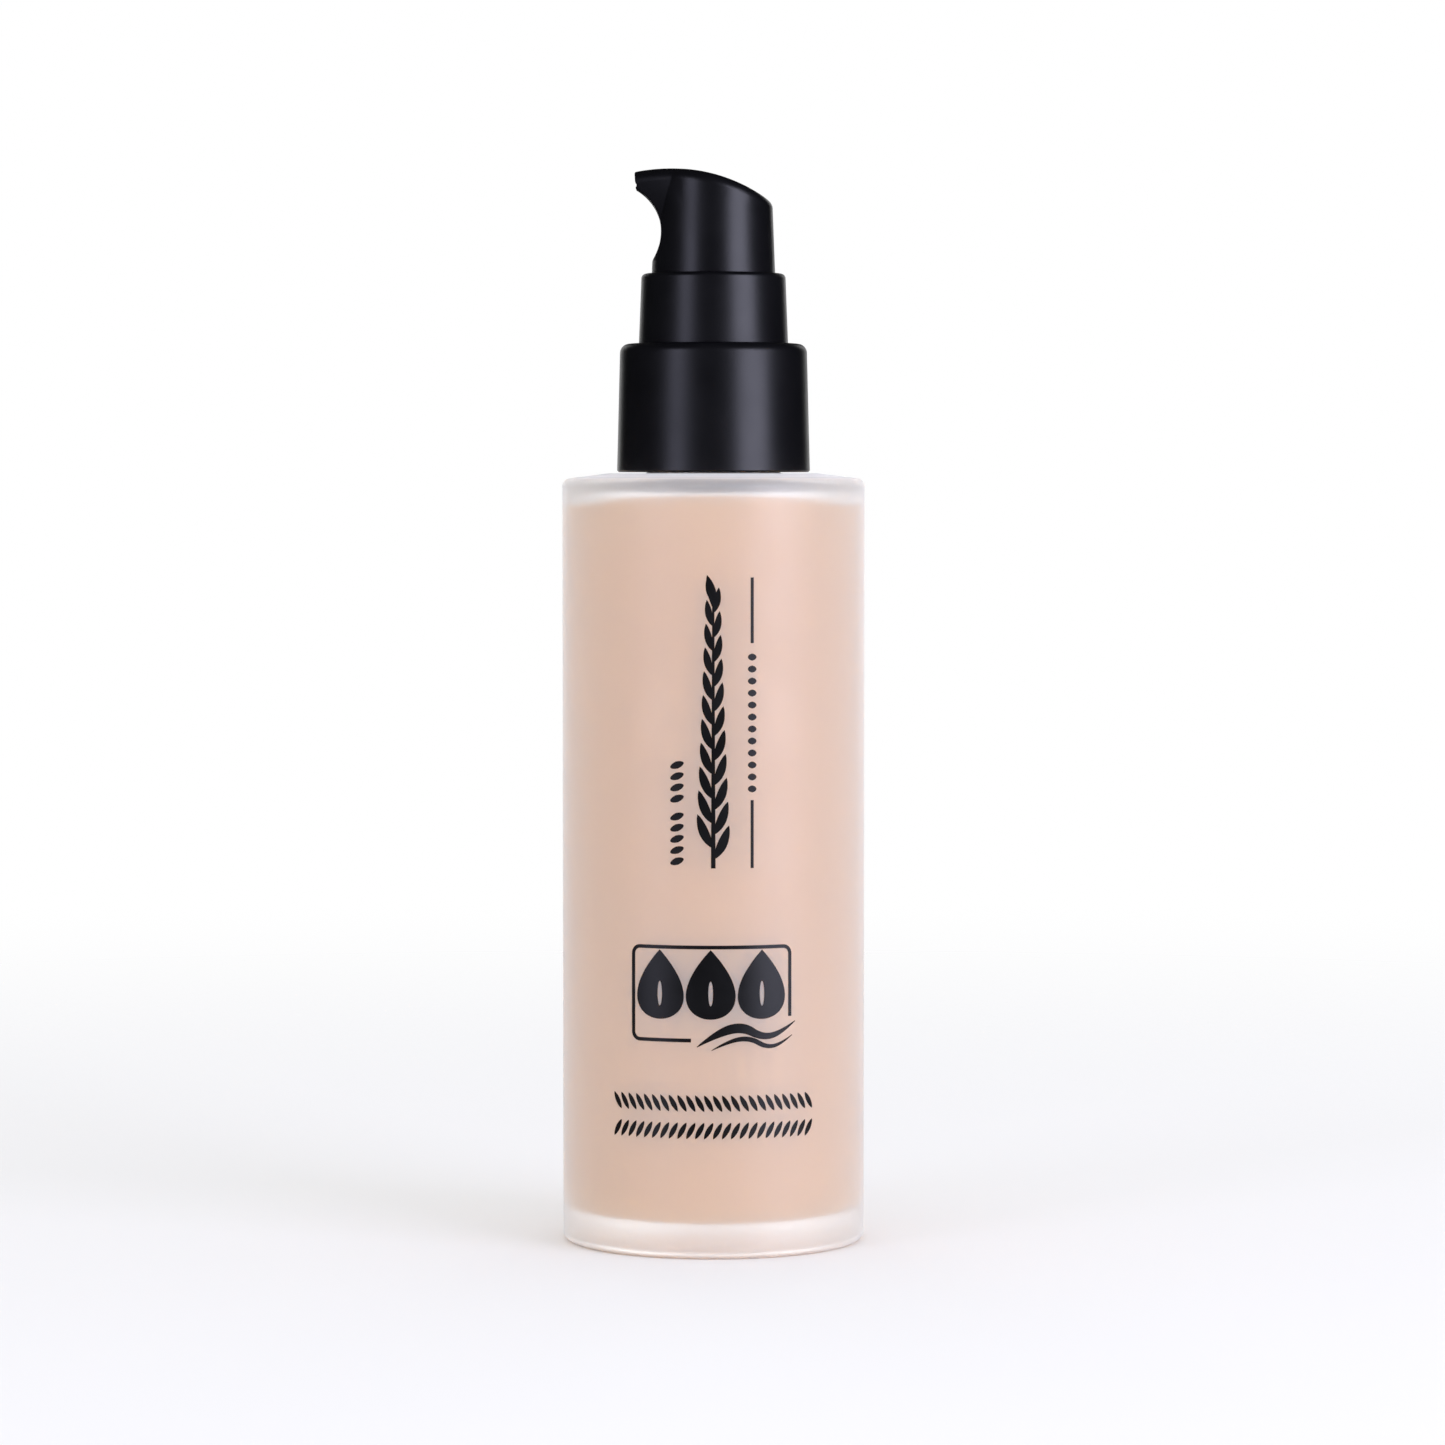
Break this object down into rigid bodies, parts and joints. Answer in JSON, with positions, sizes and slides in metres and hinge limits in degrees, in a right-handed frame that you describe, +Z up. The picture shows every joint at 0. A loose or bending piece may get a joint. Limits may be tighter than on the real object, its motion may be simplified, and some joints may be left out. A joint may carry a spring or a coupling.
{
  "type": "foundation bottle",
  "caption": "Straight cylindrical frosted glass bottle of liquid foundation with a stepped black screw collar and a beak-shaped press pump.",
  "frame": {"origin": "centre of the base, on the plane that the bottle stands on", "axes": "+Z up along the bottle's axis; the spout points along -X and the printed front faces -Y"},
  "size_m": [0.036, 0.036, 0.1274],
  "materials": {
    "frosted_glass": "frosted outside, clear at the base and shoulder",
    "foundation": "smooth liquid",
    "satin_black": "satin",
    "inner_black": "matt",
    "clear_plastic": "milky translucent",
    "white_plastic": "semi-matt",
    "gasket_foam": "matt foam",
    "spring_steel": "bright drawn"
  },
  "bodies": {
    "bottle": {"glass_bottle": "frosted_glass", "foundation_liquid": "foundation"},
    "pump": {"pump_barrel": "clear_plastic", "chaplet": "inner_black", "guide_sleeve": "satin_black", "pump_gasket": "gasket_foam", "dip_tube": "clear_plastic", "return_spring": "spring_steel"},
    "collar": {"screw_closure": "inner_black", "collar_shell": "satin_black"},
    "plunger": {"pump_stem": "white_plastic", "stem_poppet": "white_plastic"},
    "piston": {"piston_seal": "white_plastic"},
    "head": {"actuator_head": "satin_black"},
    "ball": {"inlet_ball": "spring_steel"}
  },
  "joints": [
    {"name": "pump_lift", "type": "slide", "parent": "bottle", "child": "pump", "axis": [0, 0, 1], "range_m": [0, 0.0042]},
    {"name": "collar_turn", "type": "hinge", "parent": "pump", "child": "collar", "pos_m": [0, 0, 0.1], "axis": [0, 0, 1], "range_deg": [0, 470]},
    {"name": "pump_press", "type": "slide", "parent": "pump", "child": "plunger", "axis": [0, 0, -1], "range_m": [0, 0.0055], "stiffness_N_per_m": 1200, "springref_m": -0.004, "deforming": ["return_spring"]},
    {"name": "head_swivel", "type": "hinge", "parent": "plunger", "child": "head", "pos_m": [0, 0, 0.116], "axis": [0, 0, 1], "continuous": true},
    {"name": "piston_slip", "type": "slide", "parent": "plunger", "child": "piston", "axis": [0, 0, 1], "range_m": [0, 0.00078]},
    {"name": "ball_lift", "type": "slide", "parent": "pump", "child": "ball", "axis": [0, 0, 1], "range_m": [0, 0.00095]}
  ],
  "couplings": [
    {"joint": "pump_lift", "follows": "collar_turn", "m_per_rad": 0.00050532}
  ]
}
